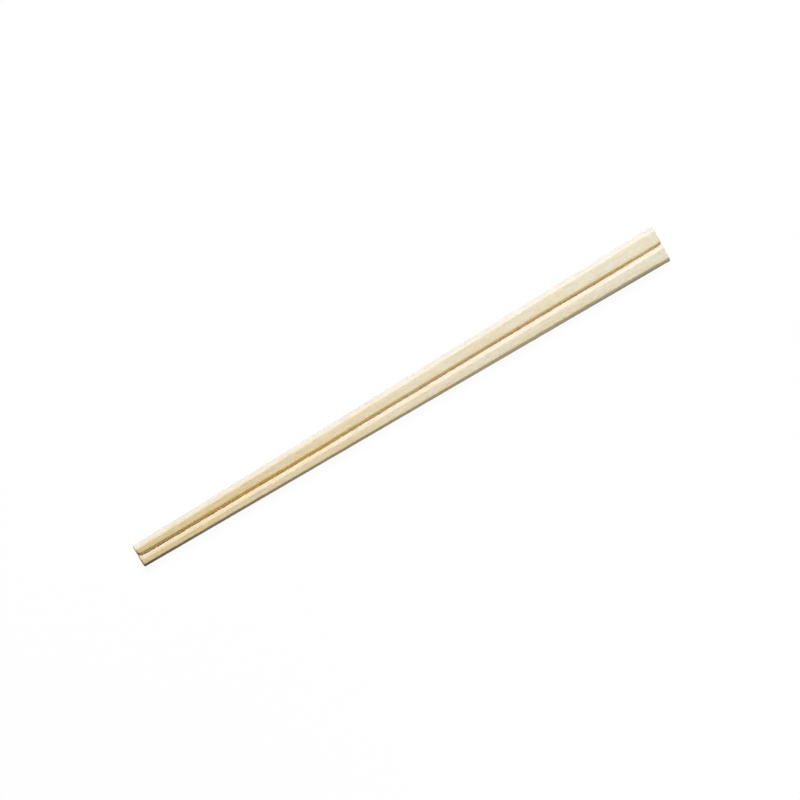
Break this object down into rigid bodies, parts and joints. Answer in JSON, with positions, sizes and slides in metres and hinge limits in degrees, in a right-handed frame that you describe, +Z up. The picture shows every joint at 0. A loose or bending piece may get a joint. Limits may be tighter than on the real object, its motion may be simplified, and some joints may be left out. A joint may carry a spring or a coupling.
{
  "type": "disposable wooden chopsticks",
  "caption": "Pair of disposable wooden chopsticks, tapered and bevelled, still joined at the head, with a grooved split line down the middle.",
  "frame": {"origin": "under the middle of the length, on the surface that the pair lies on", "axes": "+X from the eating tips to the head, +Y across the two sticks, +Z up through the thickness"},
  "size_m": [0.203, 0.013, 0.0044],
  "materials": {
    "wood": "planed and tumbled bare wood, unvarnished"
  },
  "bodies": {
    "root": {"chopstick_pair": "wood"}
  },
  "joints": []
}
